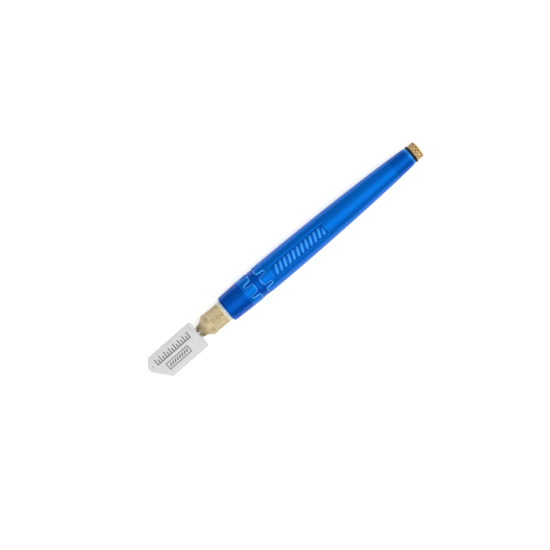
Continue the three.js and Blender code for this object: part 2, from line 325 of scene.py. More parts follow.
def metal(name, dark, light, rough, grain_scale, grain_depth, shades=(), metallic=1.0):
    """Turned or ground metal: fine directional grain, a slight change of tint and uneven polish.

    grain_depth is in millimetres. shades are functions of the node tree whose colours darken the metal,
    such as painted shade in its grooves and towards the nozzle end.
    """
    material, tree, shader = new_material(name, Metallic=metallic)
    grain = noise(tree, object_coordinates(tree, grain_scale), 1.0, 3)
    cloud = noise(tree, object_coordinates(tree), CLOUD_SCALE, 3)
    colour = ramp(tree, cloud, (0.3, dark), (0.7, light))
    for shade in shades:
        colour = multiply(tree, colour, shade(tree))
    tree.links.new(colour, shader.inputs["Base Color"])
    vary(tree, shader, "Roughness", grain, *rough)
    bump(tree, shader, grain, grain_depth * MM)
    return material


def head_metal():
    """Satin plating, evenly pale; mostly not metallic, so that it doesn't mirror the dark sky."""
    dark, light = (0.55, 0.55, 0.55), (0.59, 0.59, 0.59)
    return metal("satin_plate", dark, light, (0.5, 0.6), (900, 6000, 6000), 0.004, metallic=0.2)


def steel_metal():
    dark, light = (0.4, 0.4, 0.41), (0.52, 0.53, 0.54)
    return metal("turned_steel", dark, light, (0.24, 0.38), (9000, 900, 900), 0.003)


def carbide_metal():
    dark, light = (0.26, 0.27, 0.29), (0.36, 0.37, 0.39)
    return metal("ground_carbide", dark, light, (0.18, 0.3), (5000, 5000, 900), 0.002)


BRASS_DARK = (0.86, 0.75, 0.48)
BRASS_LIGHT = (0.96, 0.86, 0.6)
BRASS_METALLIC = 0.42


def knurl_groove_shade(low, high):
    """Painted shade at the bottom of a knurl whose roots and crests have these radii."""

    def shade(tree):
        return ramp(tree, radius_from_axis(tree, low, high), (0.0, (0.42, 0.36, 0.26)), (0.7, (1, 1, 1)))

    return shade


def nozzle_painted_shade(tree):
    """Painted shade and painted dark reflection: the brass is darkened towards the nozzle end."""
    nozzle_fade = along_axis(tree, NOZZLE_FRONT, NOZZLE_FRONT + 6)
    return ramp(tree, nozzle_fade, (0.25, (0.52, 0.52, 0.42)), (0.7, (1, 1, 1)))


def brass_metal(name, dark, light, rough, *shades):
    return metal(name, dark, light, rough, TURNED_GRAIN, 0.004, shades=shades, metallic=BRASS_METALLIC)


def ferrule_brass():
    """Brass of the knurled sleeve and of the bush inside it."""
    # painted shade: the knurl's grooves are darkened, and so is the brass towards the nozzle end
    grooves = knurl_groove_shade(FERRULE_R - 0.33, FERRULE_R)
    return brass_metal("brass_ferrule", BRASS_DARK, BRASS_LIGHT, (0.36, 0.5), nozzle_painted_shade, grooves)


def nose_brass():
    """Smoothly turned brass of the nozzle, the cone, the front band and the set screw, painted darker as a
    dark reflection.
    """
    # darker than the other brass: a painted dark reflection of the surroundings
    dark, light = (0.46, 0.37, 0.21), (0.54, 0.44, 0.26)
    return brass_metal("brass_nose_painted_shade", dark, light, (0.4, 0.52), nozzle_painted_shade)


def cap_brass():
    """The cap's brass is redder and its knurl is coarser."""
    dark, light = (0.66, 0.47, 0.22), (0.82, 0.62, 0.33)
    # painted shade: the knurl's grooves are darkened
    grooves = knurl_groove_shade(CAP_R - CAP_KNURL_DEPTH, CAP_R)
    return brass_metal("brass_cap", dark, light, (0.3, 0.44), grooves)


def etched():
    """Dark grey of the head's etched marks."""
    material, tree, shader = new_material("etched_mark", Specular_IOR_Level=0.2)
    cloud = noise(tree, object_coordinates(tree), 2500, 3)
    tree.links.new(ramp(tree, cloud, (0.3, (0.13,) * 3), (0.7, (0.2,) * 3)), shader.inputs["Base Color"])
    vary(tree, shader, "Roughness", cloud, 0.5, 0.7)
    return material


def blue_plastic():
    """Dyed, highly glossy plastic, a little milky, whose gloss is tinted by the dye.

    Its attribute "tone" paints light and shade: above 0 it darkens the colour as painted shade, and below 0
    it lightens it as painted highlight.
    """
    material, tree, shader = new_material(
        "blue_acrylic",
        Metallic=0.22,
        IOR=1.49,
        Transmission_Weight=0.35,
        Specular_IOR_Level=0.3,
        Specular_Tint=(0.03, 0.5, 1, 1),
    )
    flow = noise(tree, object_coordinates(tree, (40, 160, 160)), 1.0, 3)
    colour = ramp(tree, flow, (0.3, (0.94, 0.94, 0.97)), (0.7, (1, 1, 1)))
    tone = node(tree, "ShaderNodeAttribute", attribute_name="tone").outputs["Fac"]
    span_of_tones = {"Value": tone, "From Min": -1.0, "From Max": 1.0}
    level = node(tree, "ShaderNodeMapRange", span_of_tones).outputs["Result"]
    # the lightest blue paints highlights and the darkest blue paints shade
    painted_highlight, plain, painted_shade = (0.08, 0.44, 1.0), (0.002, 0.165, 0.7), (0.001, 0.03, 0.36)
    shade = ramp(tree, level, (0.0, painted_highlight), (0.5, plain), (1.0, painted_shade))
    tree.links.new(multiply(tree, colour, shade), shader.inputs["Base Color"])
    fine = noise(tree, object_coordinates(tree), 1500, 3)
    vary(tree, shader, "Roughness", fine, 0.12, 0.18)
    bump(tree, shader, flow, 0.02 * MM, 0.6)
    return material


def thread_seen_shade():
    """Where the plastic is pressed onto a brass thread: painted shade, a dark blue metallic colour that
    stands for the thread seen through the wall.
    """
    material, tree, shader = new_material("thread_seen_shade", Metallic=0.55)
    cloud = noise(tree, object_coordinates(tree, (300, 900, 900)), 1.0, 3)
    colour = ramp(tree, cloud, (0.3, (0.004, 0.1, 0.6)), (0.7, (0.006, 0.13, 0.7)))
    tree.links.new(colour, shader.inputs["Base Color"])
    vary(tree, shader, "Roughness", cloud, 0.24, 0.34)
    return material


def clear_plastic():
    material, tree, shader = new_material("clear_washer", IOR=1.45, Transmission_Weight=0.35)
    cloud = noise(tree, object_coordinates(tree), 900, 3)
    tint = ramp(tree, cloud, (0.3, (0.76, 0.88, 0.94)), (0.7, (0.84, 0.93, 0.97)))
    tree.links.new(tint, shader.inputs["Base Color"])
    vary(tree, shader, "Roughness", cloud, 0.2, 0.32)
    return material


def black_rubber():
    material, tree, shader = new_material("nitrile_rubber", Specular_IOR_Level=0.25)
    cloud = noise(tree, object_coordinates(tree), 3000, 4)
    tree.links.new(ramp(tree, cloud, (0.3, (0.004,) * 3), (0.7, (0.011,) * 3)), shader.inputs["Base Color"])
    vary(tree, shader, "Roughness", cloud, 0.45, 0.65)
    bump(tree, shader, cloud, 0.01 * MM)
    return material


def wool_felt():
    material, tree, shader = new_material("wick_felt")
    fibre = noise(tree, object_coordinates(tree, (1200, 5000, 5000)), 1.0, 5)
    colour = ramp(tree, fibre, (0.3, (0.55, 0.5, 0.38)), (0.7, (0.8, 0.76, 0.64)))
    tree.links.new(colour, shader.inputs["Base Color"])
    vary(tree, shader, "Roughness", fibre, 0.85, 1.0)
    bump(tree, shader, fibre, 0.08 * MM)
    return material


plate = head_metal()
steel = steel_metal()
carbide = carbide_metal()
brass = ferrule_brass()
painted_dark_brass = nose_brass()
gold_brass = cap_brass()
mark = etched()
acrylic = blue_plastic()
thread_shade = thread_seen_shade()
washer_plastic = clear_plastic()
rubber = black_rubber()
felt = wool_felt()

# ---- booleans ----------------------------------------------------------------------------------


def box_object(name, low, high, material, lean=0.0):
    """A plain box to cut with, turned about X round its middle; z is measured from the tool's axis."""
    verts = []
    middle = (Vector(low) + Vector(high)) / 2
    spin = Matrix.Rotation(lean, 3, "X")
    for x in (low[0], high[0]):
        for y in (low[1], high[1]):
            for z in (low[2], high[2]):
                point = middle + spin @ (Vector((x, y, z)) - middle)
                verts.append((point.x * MM, point.y * MM, (point.z + AXIS_Z) * MM))
    faces = [(0, 1, 3, 2), (4, 6, 7, 5), (0, 4, 5, 1), (2, 3, 7, 6), (0, 2, 6, 4), (1, 5, 7, 3)]
    return make_object(name, verts, faces, material)


def upright(name, x, y, profile, material, facets=64):
    """Turns a profile of (z, r) points round an upright line; z is measured from the tool's axis."""
    verts, faces = [], []
    rows = len(profile)
    for z, r in profile:
        for k in range(facets):
            theta = 2 * math.pi * k / facets
            across = y + r * math.sin(theta)
            verts.append(((x + r * math.cos(theta)) * MM, across * MM, (AXIS_Z + z) * MM))
    for i in range(rows - 1):
        for k in range(facets):
            n = (k + 1) % facets
            faces.append((i * facets + k, i * facets + n, (i + 1) * facets + n, (i + 1) * facets + k))
    faces.append(tuple(range(facets))[::-1])
    faces.append(tuple((rows - 1) * facets + k for k in range(facets)))
    return make_object(name, verts, faces, material)


def cut(obj, *cutters):
    """Takes the cutters away from obj and removes them."""
    for cutter in cutters:
        modifier = obj.modifiers.new("cut", "BOOLEAN")
        modifier.operation = "DIFFERENCE"
        modifier.solver = "EXACT"
        modifier.object = cutter
    settle(obj)
    for cutter in cutters:
        bpy.data.objects.remove(cutter)
    return obj


CUT_SHARP = 35


def settle(obj):
    """Turns an object's modifiers into its mesh."""
    depsgraph = bpy.context.evaluated_depsgraph_get()
    mesh = bpy.data.meshes.new_from_object(obj.evaluated_get(depsgraph))
    obj.modifiers.clear()
    obj.data = mesh
    mesh.shade_smooth()
    mesh.set_sharp_from_angle(angle=math.radians(CUT_SHARP))


def piece(obj, body, slot, *replaced):
    """Gives a finished piece its body and hides the CAD nodes that it stands for; slot is not used."""
    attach(obj, body)
    if replaced:
        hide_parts(*replaced)
    return obj


# ---- head --------------------------------------------------------------------------------------

# station of the head's tip, from which its other stations are worked out
TIP = BARREL_FRONT - 48.8
HEAD_APEX = TIP - 0.8
HEAD_REAR = TIP + 30.6
NEAR_BEVEL_REAR = TIP + 3.4
FAR_BEVEL_REAR = TIP + 7.2
HEAD_HALF = 7.65
HEAD_SHIFT = -0.4
TIP_OFFSET = 2.5
HEAD_EDGE = 0.22
HEAD_LEAN = math.radians(1.2)
HEAD_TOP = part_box("head_block")[1].z / MM - AXIS_Z
POCKET_R = 3.0
POCKET_HALF = 0.7
AXLE_R = 0.44
GROOVE_FRONT = HEAD_REAR - 1.75
GROOVE_REAR = HEAD_REAR - 1.3
GROOVE_LEAN = math.radians(4)
wheel_low, wheel_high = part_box("cutting_wheel")
WHEEL_X = (wheel_low.x + wheel_high.x) / 2 / MM
WHEEL_Y = (wheel_low.y + wheel_high.y) / 2 / MM
WHEEL_R = (wheel_high.x - wheel_low.x) / 2 / MM


def on_head(along, across):
    """A point given along and across the head's middle line, which is askew on the shank."""
    pivot = Vector((HEAD_REAR, 0))
    return pivot + Matrix.Rotation(HEAD_LEAN, 2) @ (Vector((along, across + HEAD_SHIFT)) - pivot)


def head_outline():
    """Five corners, each rounded by its own radius; the nose's arc ends at the front of the CAD block."""
    corners = [
        (on_head(HEAD_APEX, TIP_OFFSET), 3.0),
        (on_head(FAR_BEVEL_REAR, -HEAD_HALF), 1.5),
        (on_head(HEAD_REAR, -HEAD_HALF), 1.0),
        (on_head(HEAD_REAR, HEAD_HALF), 0.7),
        (on_head(NEAR_BEVEL_REAR, HEAD_HALF), 1.3),
    ]
    outline = []
    for i, (p, radius) in enumerate(corners):
        before = (corners[i - 1][0] - p).normalized()
        after = (corners[(i + 1) % len(corners)][0] - p).normalized()
        angle = before.angle(after)
        reach = radius / math.tan(angle / 2)
        centre = p + (before + after).normalized() * (radius / math.sin(angle / 2))
        start = p + before * reach - centre
        turn = start.angle_signed(p + after * reach - centre)
        outline += [centre + Matrix.Rotation(-turn * k / 10, 2) @ start for k in range(11)]
    return outline


def head_block():
    """Five-sided steel plate with rounded corners, softened edges, a wheel slot and bored holes."""
    bm = bmesh.new()
    low = [bm.verts.new((q.x * MM, q.y * MM, (AXIS_Z - HEAD_TOP) * MM)) for q in head_outline()]
    bottom = bm.faces.new(low)
    raised = bmesh.ops.extrude_face_region(bm, geom=[bottom])
    top = [v for v in raised["geom"] if isinstance(v, bmesh.types.BMVert)]
    bmesh.ops.translate(bm, verts=top, vec=(0, 0, 2 * HEAD_TOP * MM))
    bmesh.ops.recalc_face_normals(bm, faces=bm.faces)
    rim_angle = 1.2
    level = [e for e in bm.edges if abs(e.verts[0].co.z - e.verts[1].co.z) < 1e-7]
    rims = [e for e in level if e.calc_face_angle(0) > rim_angle]
    rounding = {"segments": 3, "profile": 0.5, "affect": "EDGES", "clamp_overlap": True}
    bmesh.ops.bevel(bm, geom=rims, offset=HEAD_EDGE * MM, **rounding)
    mesh = bpy.data.meshes.new("head_plate")
    bm.to_mesh(mesh)
    bm.free()
    obj = bpy.data.objects.new("head_plate", mesh)
    bpy.context.scene.collection.objects.link(obj)
    mesh.materials.append(plate)
    pocket_walls = [(-POCKET_HALF, POCKET_R), (POCKET_HALF, POCKET_R)]
    pocket = upright("pocket", WHEEL_X, WHEEL_Y, pocket_walls, plate)
    mouth = box_object(
        "mouth",
        (TIP_X - 2, WHEEL_Y - POCKET_R, -POCKET_HALF),
        (WHEEL_X, WHEEL_Y + POCKET_R, POCKET_HALF),
        plate,
    )
    axle_hole = upright("axle_hole", WHEEL_X, WHEEL_Y, [(-4, AXLE_R + 0.03), (4, AXLE_R + 0.03)], plate)
    shank_hole = bore("shank_hole", SHANK_FRONT - 0.05, HEAD_REAR + 1, 2.0)
    oil_hole = bore("oil_hole", WHEEL_X, SHANK_FRONT + 0.1, 0.72)
    groove = box_object(
        "groove",
        (GROOVE_FRONT, 2.5, HEAD_TOP - 0.3),
        (GROOVE_REAR, HEAD_HALF + 2, HEAD_TOP + 0.6),
        plate,
        lean=GROOVE_LEAN,
    )
    return cut(obj, pocket, mouth, axle_hole, shank_hole, oil_hole, groove)


def bore(name, front, rear, r):
    """A round cutter on the tool's axis."""
    return revolve(name, [(front, 0), (front, r), (rear, r), (rear, 0)], plate, facets=48)


def strip(verts, faces, a, b, width, top):
    """Adds a thin raised bar from point a to point b to a mesh in the making."""
    along = (b - a).normalized()
    side = Vector((-along.y, along.x)) * (width / 2)
    base = len(verts)
    corners = [a - side, b - side, b + side, a + side]
    for z in (top - 0.05, top):
        verts.extend((c.x * MM, c.y * MM, (AXIS_Z + z) * MM) for c in corners)
    faces.extend(
        tuple(base + i for i in face)
        for face in ((3, 2, 1, 0), (4, 5, 6, 7), (0, 1, 5, 4), (1, 2, 6, 5), (2, 3, 7, 6), (3, 0, 4, 7))
    )


TICKS = 15
TICK_FRONT = TIP + 5.3
TICK_PITCH = 1.5
TICK_FOOT = 1.6
TICK_WIDTH = 0.62
MARK_LINE = 0.5
HATCHES = 8


def head_marks():
    """Generic etched marks: a row of graduation ticks, and an outlined box of slanted hatching."""
    verts, faces = [], []
    top = HEAD_TOP + 0.012
    for k in range(TICKS):
        x = TICK_FRONT + k * TICK_PITCH
        length = 2.2 if k % 2 else 3.3
        strip(verts, faces, on_head(x, TICK_FOOT), on_head(x, TICK_FOOT + length), TICK_WIDTH, top)
    line_front = TICK_FRONT - TICK_WIDTH / 2
    line_rear = TICK_FRONT + (TICKS - 1) * TICK_PITCH + TICK_WIDTH / 2
    strip(verts, faces, on_head(line_front, TICK_FOOT), on_head(line_rear, TICK_FOOT), MARK_LINE, top)
    front, rear, far, near = TIP + 8.5, TIP + 22.4, -4.0, -0.6
    corners = [(front, far), (rear, far), (rear, near), (front, near)]
    for a, b in zip(corners, corners[1:] + corners[:1]):
        strip(verts, faces, on_head(*a), on_head(*b), MARK_LINE, top)
    for k in range(HATCHES):
        x = front + 1.7 + k * 1.5
        strip(verts, faces, on_head(x - 0.5, far + 0.9), on_head(x + 0.6, near - 0.9), 0.75, top)
    return make_object("head_marks", verts, faces, mark)


def cutting_wheel():
    """Disc with a V edge, bored for the axle."""
    bevel = [(-0.55, 0.5), (-0.55, WHEEL_R - 0.5), (-0.47, WHEEL_R - 0.42), (-0.02, WHEEL_R - 0.01)]
    profile = bevel + [(-z, r) for z, r in reversed(bevel)]
    obj = upright("wheel_disc", WHEEL_X, WHEEL_Y, profile, carbide, 96)
    hub = upright("hub", WHEEL_X, WHEEL_Y, [(-2, 0.5), (2, 0.5)], carbide, 32)
    return cut(obj, hub)


def cross_pin(name, x, y, end, r, edge):
    """An upright pin as long above the tool's axis as below it, with tapered ends."""
    profile = [(-end, r - 0.1), (-end + edge, r), (end - edge, r), (end, r - 0.1)]
    return upright(name, x, y, profile, steel, 32)


def wheel_axle():
    return cross_pin("axle_pin", WHEEL_X, WHEEL_Y, HEAD_TOP - 0.02, AXLE_R, 0.1)


SHANK_R = 1.97
SHANK_BORE = 0.75
SHANK_WAIST = 1.4
KEY_PIN_R = 0.4
key_low, key_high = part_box("swivel_key_pin")
KEY_X = (key_low.x + key_high.x) / 2 / MM


def head_shank():
    """Bored stem with a waist for its seal, a hole for the key pin and a notched rear end."""
    waist_front, waist_rear = SHANK_FRONT + 10.4, SHANK_FRONT + 12.3
    profile = [
        (SHANK_FRONT, SHANK_BORE),
        (SHANK_FRONT, SHANK_R),
        (waist_front, SHANK_R),
        (waist_front, SHANK_WAIST),
        (waist_rear, SHANK_WAIST),
        (waist_rear, SHANK_R),
        (SHANK_REAR, SHANK_R),
        (SHANK_REAR, SHANK_BORE),
    ]
    obj = revolve("shank_stem", fillet(profile, 0.12, steps=3), steel, facets=64)
    hole = upright("pin_hole", KEY_X, 0, [(-4, KEY_PIN_R + 0.02), (4, KEY_PIN_R + 0.02)], steel, 32)
    notch = box_object("notch", (SHANK_REAR - 1, -4, -0.55), (SHANK_REAR + 1, 4, 0.55), steel)
    return cut(obj, hole, notch)


def key_pin():
    return cross_pin("key_pin", KEY_X, 0, key_high.z / MM - AXIS_Z, KEY_PIN_R, 0.12)


def wick():
    front, rear = span("oil_wick")
    cord, tip = 0.66, 0.5
    profile = [(front, 0), (front, tip), (front + 0.3, cord), (rear - 0.2, cord), (rear, tip), (rear, 0)]
    return revolve("felt_wick", profile, felt, facets=24)


def build_head():
    piece(head_block(), "head", "plated_steel", "head_block")
    piece(head_marks(), "head", "plated_steel")
    piece(wheel_axle(), "head", "steel", "wheel_axle")
    piece(head_shank(), "head", "steel", "head_shank")
    piece(key_pin(), "head", "steel", "swivel_key_pin")
    piece(wick(), "head", "felt", "oil_wick")
    piece(cutting_wheel(), "wheel", "carbide", "cutting_wheel")


# ---- ferrule -----------------------------------------------------------------------------------

CONE_FRONT = NOZZLE_FRONT + 2.6
BODY_FRONT = NOZZLE_FRONT + 5.3
KNURL_FRONT = NOZZLE_FRONT + 7.9
BODY_REAR = WASHER_FRONT - 0.02
FERRULE_BORE = 2.05
CHAMBER_R = 3.4
CHAMBER_FRONT = NOZZLE_FRONT + 8.3
FERRULE_PITCH = 1.3
FERRULE_THREAD_R = 5.0
KEY_SLOT_HALF = 0.58
SCREW_BORE_R = 1
screw_low, screw_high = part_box("head_set_screw")
SCREW_X = (screw_low.x + screw_high.x) / 2 / MM


def ferrule_nose():
    """Nozzle, cone and smooth front band, slotted for the key pin and drilled for the set screw."""
    profile = [
        (NOZZLE_FRONT, FERRULE_BORE),
        (NOZZLE_FRONT, 2.95),
        (NOZZLE_FRONT + 0.9, 3.2),
        (CONE_FRONT, 3.5),
        (BODY_FRONT, FERRULE_R - 0.2),
        (BODY_FRONT + 0.2, FERRULE_R),
        (KNURL_FRONT, FERRULE_R),
        (KNURL_FRONT, FERRULE_BORE),
    ]
    obj = revolve("ferrule_nose", fillet(profile, 0.45, steps=5), painted_dark_brass)
    slot_low = (NOZZLE_FRONT - 1, -KEY_SLOT_HALF, -7)
    slot_high = (key_high.x / MM + 0.6, KEY_SLOT_HALF, 7)
    slot_cut = box_object("slot_cut", slot_low, slot_high, painted_dark_brass)
    screw_bore = upright("screw_bore", SCREW_X, 0, [(0, SCREW_BORE_R), (8, SCREW_BORE_R)], painted_dark_brass, 48)
    return cut(obj, slot_cut, screw_bore)


def ferrule_sleeve():
    """Knurled band, plain rear edge and the threaded shank with the valve chamber inside."""
    knurl_rear = BODY_REAR - 0.35
    thread_front, thread_rear = BODY_REAR + 1.6, FERRULE_REAR - 0.5
    bore_r = FERRULE_BORE + 0.01
    outside = dense(KNURL_FRONT, knurl_rear, 0.09, lambda x: FERRULE_R)
    threads = dense(thread_front, thread_rear, FERRULE_PITCH / 10, lambda x: FERRULE_THREAD_R)
    profile = [
        (KNURL_FRONT, bore_r),
        *outside,
        (knurl_rear + 0.1, FERRULE_R - 0.15),
        (BODY_REAR, FERRULE_R - 0.2),
        (BODY_REAR, 4.45),
        *threads,
        (FERRULE_REAR, 4.4),
        (FERRULE_REAR, CHAMBER_R),
        (CHAMBER_FRONT, CHAMBER_R),
        (CHAMBER_FRONT, bore_r),
    ]

    def relief(i, x, r, theta):
        if r == FERRULE_R:
            fade = smooth(0, 0.35, x - KNURL_FRONT) * smooth(0, 0.35, knurl_rear - x)
            return r - 0.03 - FERRULE_KNURL_DEPTH * fade * (1 - knurl(x, theta, 36, 1.05))
        if r == FERRULE_THREAD_R:
            fade = smooth(0, 0.6, thread_rear - x)
            return 4.42 + 0.56 * thread(x, theta, FERRULE_PITCH) * fade
        return r

    return revolve("ferrule_sleeve", profile, brass, facets=352, relief=relief, sharp=30)


def set_screw():
    """Slotted grub screw with a thin foot and a wide head."""
    foot = screw_low.z / MM - AXIS_Z
    top = screw_high.z / MM - AXIS_Z
    head_r = 0.95
    profile = [
        (foot, 0.5),
        (foot + 0.1, 0.58),
        (foot + 0.62, 0.6),
        (foot + 0.75, head_r),
        (top - 0.15, head_r),
        (top, head_r - 0.15),
    ]
    obj = upright("set_screw", SCREW_X, 0, profile, painted_dark_brass, 48)
    slot_low = (SCREW_X - 2, -0.17, top - 0.55)
    slot_high = (SCREW_X + 2, 0.17, top + 1)
    return cut(obj, box_object("screw_slot", slot_low, slot_high, painted_dark_brass))


def plain_ring(name, cad_node, inner, outer, material, edge=0.2):
    """A ring as long as its CAD node, with rounded edges."""
    front, rear = span(cad_node)
    profile = [(front, inner), (front, outer), (rear, outer), (rear, inner)]
    return revolve(name, fillet(profile, edge), material)


def push_rod():
    """Thin rod with a flange at its front."""
    front, rear = span("push_rod")
    flange_rear, flange_r, rod_r = front + 0.7, 1.2, 0.6
    profile = [
        (front, 0),
        (front, flange_r),
        (flange_rear, flange_r),
        (flange_rear, rod_r),
        (rear, rod_r),
        (rear, 0),
    ]
    return revolve("push_rod_stem", fillet(profile, 0.1, steps=3, closed=False), steel, facets=48)


def valve_ball():
    front, rear = span("valve_ball")
    r = (rear - front) / 2
    angles = [math.pi * k / 24 for k in range(25)]
    return revolve("steel_ball", [(front + r - r * math.cos(a), r * math.sin(a)) for a in angles], steel, 48)


def valve_spring():
    """Coil spring with closed ends."""
    front, rear = span("valve_spring")
    wire, coil, turns = 0.19, 1.0, 6.5
    sides = 10
    steps = round(turns * 24)
    verts, faces = [], []
    for k in range(steps + 1):
        t = k / steps
        theta = 2 * math.pi * turns * t
        advance = smooth(0.06, 0.94, t)
        x = front + wire + (rear - front - 2 * wire) * advance
        for j in range(sides):
            phi = 2 * math.pi * j / sides
            verts.append(on_axis(x + wire * math.sin(phi), coil + wire * math.cos(phi), theta))
    for k in range(steps):
        for j in range(sides):
            n = (j + 1) % sides
            faces.append((k * sides + j, k * sides + n, (k + 1) * sides + n, (k + 1) * sides + j))
    faces.append(tuple(range(sides)))
    faces.append(tuple(steps * sides + j for j in range(sides))[::-1])
    obj = make_object("spring_coil", verts, faces, steel)
    fix_normals(obj)
    return obj


def spring_retainer():
    rear = span("spring_retainer")[1]
    ring = plain_ring("retainer_bush", "spring_retainer", 1.2, CHAMBER_R - 0.1, brass)
    return cut(ring, box_object("driver_slot", (rear - 1, -0.5, -4), (rear + 1, 0.5, 4), brass))


SEAL_R = CHAMBER_R - 0.05


def build_ferrule():
    piece(ferrule_nose(), "handle", "brass", "ferrule")
    piece(ferrule_sleeve(), "handle", "brass")
    piece(set_screw(), "handle", "brass", "head_set_screw")
    seal = plain_ring("seal_ring", "shank_seal", 2.02, SEAL_R, rubber, edge=0.4)
    piece(seal, "handle", "rubber", "shank_seal")
    seat = plain_ring("seat_ring", "valve_seat", 0.9, SEAL_R, rubber, edge=0.3)
    piece(seat, "handle", "rubber", "valve_seat")
    spring = piece(valve_spring(), "handle", "steel", "valve_spring")
    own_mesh(spring)
    piece(spring_retainer(), "handle", "brass", "spring_retainer")
    washer = plain_ring("washer_ring", "ferrule_washer", 5.06, 5.9, washer_plastic, edge=0.25)
    piece(washer, "handle", "clear_plastic", "ferrule_washer")
    piece(push_rod(), "plunger", "steel", "push_rod")
    piece(valve_ball(), "plunger", "steel", "valve_ball")


# ---- barrel ------------------------------------------------------------------------------------

# the bore: a threaded socket for the ferrule, the reservoir, and a threaded filler mouth for the cap
THREAD_REAR = BARREL_FRONT + 12.2
SOCKET_REAR = BARREL_FRONT + 12.8
SOCKET_R = 5.06
RESERVOIR_R = 4.7
FILLER_FRONT = BARREL_REAR - 11.9
FILLER_R = 3.86
CAP_PITCH = 1.0
CAP_THREAD_DEPTH = 0.4
SOCKET_THREAD_DEPTH = 0.54

# the grip band's figures and the panel of slanted ribs
GRIP_X = BARREL_FRONT + 20.5
GRIP_FIGURES = 7
GRIP_PHASE = math.radians(69.3)
RIBS_FRONT = BARREL_FRONT + 31
RIBS_REAR = BARREL_FRONT + 62.6
PANEL_MIDDLE = math.radians(95)
PANEL_DEPTH = 0.38
PANEL_HALF = 3.2
RIB_PITCH = 2.75
RIB_SLANT = 0.35
RIB_HALF_WIDTH = 0.62
RIB_HALF_LENGTH = 2.5

# stations from the barrel's front, with the radius of its side there
SIDE = [(1.2, 7.25), (13.2, 7.58), (31.2, 7.8), (56.2, 7.5), (81.2, 6.83), (103.2, 5.9), (117.7, 5.0)]


def side_radius(x):
    """Radius of the barrel's side: a Catmull-Rom curve through the stations of SIDE."""
    s = x - BARREL_FRONT
    last = len(SIDE) - 1
    i = max(0, min(last - 1, sum(1 for a, _ in SIDE if a <= s) - 1))
    (s0, r0), (s1, r1) = SIDE[i], SIDE[i + 1]
    before = SIDE[max(0, i - 1)]
    after = SIDE[min(last, i + 2)]
    m0 = (r1 - before[1]) / (s1 - before[0]) * (s1 - s0)
    m1 = (after[1] - r0) / (after[0] - s0) * (s1 - s0)
    t = (s - s0) / (s1 - s0)
    t2, t3 = t * t, t * t * t
    return (2 * t3 - 3 * t2 + 1) * r0 + (t3 - 2 * t2 + t) * m0 + (3 * t2 - 2 * t3) * r1 + (t3 - t2) * m1


def grip_distance(x, theta):
    """Distance in millimetres to the outline of the grip's figures, less than 0 inside them.

    The figures are a ring round the barrel with a tapered arm to each side at every step, and the
    corners between them are blended.
    """
    along = abs(x - GRIP_X)
    step = 2 * math.pi / GRIP_FIGURES
    across = abs((theta - GRIP_PHASE + step / 2) % step - step / 2) * side_radius(GRIP_X)
    ring = along - 1.7
    arm = max(across - (1.25 - 0.13 * along), along - 6)
    blend = 1.2
    h = max(0, blend - abs(ring - arm)) / blend
    return min(ring, arm) - h * h * blend / 4


def grip_relief(x, theta):
    """Depth of the grip band: the figures are sunk, inside a groove that follows their outline."""
    distance = grip_distance(x, theta)
    return 0.22 * smooth(0.1, -0.3, distance) + 0.34 * bell(distance, 0.4)


def panel(x, theta):
    """1 on the sunk panel that carries the slanted ribs, 0 round it, and smooth at its edge."""
    around = abs(theta - PANEL_MIDDLE) * side_radius(x)
    past_end = max(RIBS_FRONT - 1 - x, x - RIBS_REAR - 1)
    return smooth(0.5, 0, max(around - PANEL_HALF, past_end))


def rib(x, theta):
    """1 on the slanted ribs of the panel, 0 between them, and smooth at their edges."""
    across = (theta - PANEL_MIDDLE) * side_radius(x)
    u = (x - RIBS_FRONT - RIB_PITCH / 2 + across * RIB_SLANT) / RIB_PITCH
    beside = abs(u - round(u)) * RIB_PITCH - RIB_HALF_WIDTH
    past_end = max(RIBS_FRONT - x, x - RIBS_REAR)
    return smooth(0.25, -0.15, max(beside, abs(across) - RIB_HALF_LENGTH, past_end))


def rib_relief(x, theta):
    """Depth of the panel between its ribs."""
    return PANEL_DEPTH * panel(x, theta) * (1 - rib(x, theta))


def barrel_outside():
    """Profile of the barrel's outside, with more points where relief or a thread's tone is drawn."""
    front, rear = BARREL_FRONT, BARREL_REAR
    nose = [(front, 5.6), (front, 6.85), (front + 1.2, 7.25), (front + 3, side_radius(front + 3))]
    tail_front = rear - 3
    tail = [(tail_front, side_radius(tail_front)), (rear - 1.6, 4.9), (rear, 4.5), (rear, 3.9)]
    zones = (
        (front + 2, GRIP_X + 6.6, 0.15),
        (GRIP_X + 6.6, RIBS_FRONT - 2, 0.8),
        (RIBS_FRONT - 2, RIBS_REAR + 2, 0.16),
        (RIBS_REAR + 2, CAP_THREAD_FRONT - 1, 1.0),
        (CAP_THREAD_FRONT - 1, tail_front, 0.14),
    )
    side = []
    for a, b, step in zones:
        side += dense(a, b, step, side_radius)[:-1]
    rounded_nose = fillet(nose, 0.4, closed=False)[1:-1]
    return rounded_nose + side + fillet(tail, 0.5, closed=False)[:-1]


def barrel_relief(kind, x, r, theta):
    """Radius of a point of the barrel, by the kind of surface that it is on."""
    if kind == "side":
        return r - grip_relief(x, theta) - rib_relief(x, theta)
    if kind == "filler":
        return FILLER_R - CAP_THREAD_DEPTH + CAP_THREAD_DEPTH * thread(x, theta, CAP_PITCH)
    if kind == "socket":
        return SOCKET_R - SOCKET_THREAD_DEPTH + SOCKET_THREAD_DEPTH * thread(x, theta, FERRULE_PITCH)
    return r


